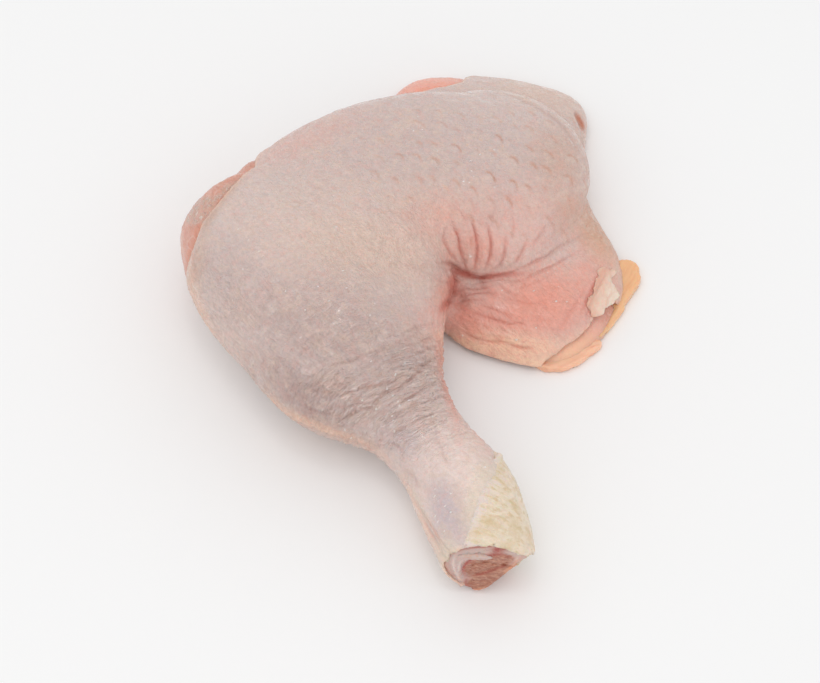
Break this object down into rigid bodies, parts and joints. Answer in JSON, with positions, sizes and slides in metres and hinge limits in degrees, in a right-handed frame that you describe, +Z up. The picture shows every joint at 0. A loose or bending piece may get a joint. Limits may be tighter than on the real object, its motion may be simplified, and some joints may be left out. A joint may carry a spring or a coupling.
{
  "type": "raw chicken leg quarter",
  "caption": "Raw chicken leg quarter, thigh and drumstick in one piece, lying skin side up with the skin on, the shank cut at the hock and a belly flap folded out at the side.",
  "frame": {"origin": "on the surface the piece lies on, under the middle of its bounding box", "axes": "+Z up, away from that surface, with the skin side up. +X runs along the thigh from the knee to the back edge. -Y points from the thigh to the cut hock"},
  "size_m": [0.132, 0.17, 0.0492],
  "materials": {
    "skin": "wet",
    "meat": "wet",
    "bone": "satin",
    "tendon": "wet",
    "cuff": "satin",
    "fat": "wet",
    "lip": "wet",
    "scrap": "wet"
  },
  "bodies": {
    "root": {"skin": "skin", "meat": "meat", "shank_bone": "bone", "tendon": "tendon", "shank_cuff": "cuff", "flap_fat": "fat", "flap_lip": "lip", "skin_scrap": "scrap"}
  },
  "joints": []
}
